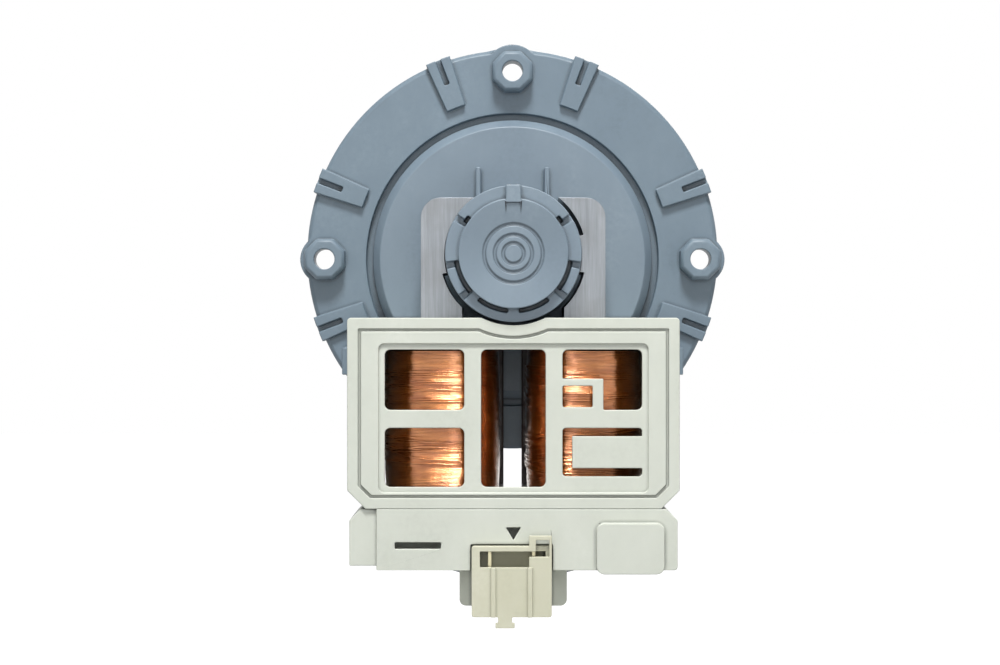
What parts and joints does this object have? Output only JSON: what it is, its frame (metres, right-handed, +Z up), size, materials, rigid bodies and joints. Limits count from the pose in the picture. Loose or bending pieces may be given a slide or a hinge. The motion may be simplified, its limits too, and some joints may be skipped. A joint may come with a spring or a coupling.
{
  "type": "washer drain pump",
  "caption": "Synchronous drain pump: screw flange with spigot and open impeller, blind rotor can, U-shaped stator with covered coils, plug socket below.",
  "frame": {"origin": "where the rotor axis meets the mating face of the mounting flange, midway between the two side screw holes", "axes": "+Y along the rotor axis, out of the motor towards the impeller; +Z up, away from the plug socket; +X to the right seen from the motor side"},
  "size_m": [0.1044, 0.0767, 0.1379],
  "materials": {
    "flange_plastic": "blue-grey moulded polypropylene, satin",
    "cover_plastic": "off-white moulded polyester, fine satin",
    "socket_plastic": "natural beige nylon, satin",
    "bobbin_plastic": "glass-filled moulded plastic, matt",
    "lamination_steel": "stacked electrical steel sheet with cut edges",
    "enamelled_copper": "enamelled copper wire, glossy",
    "seal_rubber": "black rubber, matt",
    "bushing_carbon": "graphite bearing, matt",
    "shaft_steel": "ground stainless steel",
    "ferrite": "sintered ferrite, dull dark grey",
    "tinned_brass": "tinned brass blade",
    "protector_plastic": "black moulded case",
    "impeller_plastic": "pale grey moulded polypropylene"
  },
  "bodies": {
    "pump_body": {"mounting_flange": "flange_plastic", "flange_gasket": "seal_rubber", "rotor_can": "flange_plastic", "bearing_plate": "bobbin_plastic", "front_bushing": "bushing_carbon", "front_bushing_mount": "seal_rubber", "rear_bushing": "bushing_carbon", "rear_bushing_mount": "seal_rubber", "pole_stack_left": "lamination_steel", "pole_stack_right": "lamination_steel", "stator_yoke": "lamination_steel", "bobbin_left": "bobbin_plastic", "bobbin_right": "bobbin_plastic", "winding_core_left": "enamelled_copper", "winding_core_right": "enamelled_copper", "winding_left": "enamelled_copper", "winding_right": "enamelled_copper", "coil_housing": "cover_plastic", "terminal_block": "cover_plastic", "connector_socket": "socket_plastic", "terminal_left": "tinned_brass", "terminal_right": "tinned_brass", "thermal_protector": "protector_plastic"},
    "rotor": {"rotor_shaft": "shaft_steel", "rotor_magnet": "ferrite", "rotor_carrier": "bobbin_plastic", "thrust_washers": "bobbin_plastic", "fluff_seal": "seal_rubber", "drive_dog": "impeller_plastic"},
    "pump_wheel": {"impeller": "impeller_plastic", "impeller_cap": "impeller_plastic"}
  },
  "joints": [
    {"name": "rotor_spin", "type": "hinge", "parent": "pump_body", "child": "rotor", "pos_m": [0, 0, 0], "axis": [0, 1, 0], "continuous": true},
    {"name": "impeller_free_play", "type": "hinge", "parent": "rotor", "child": "pump_wheel", "pos_m": [0, 0.012, 0], "axis": [0, 1, 0], "range_deg": [-112, 112]}
  ]
}
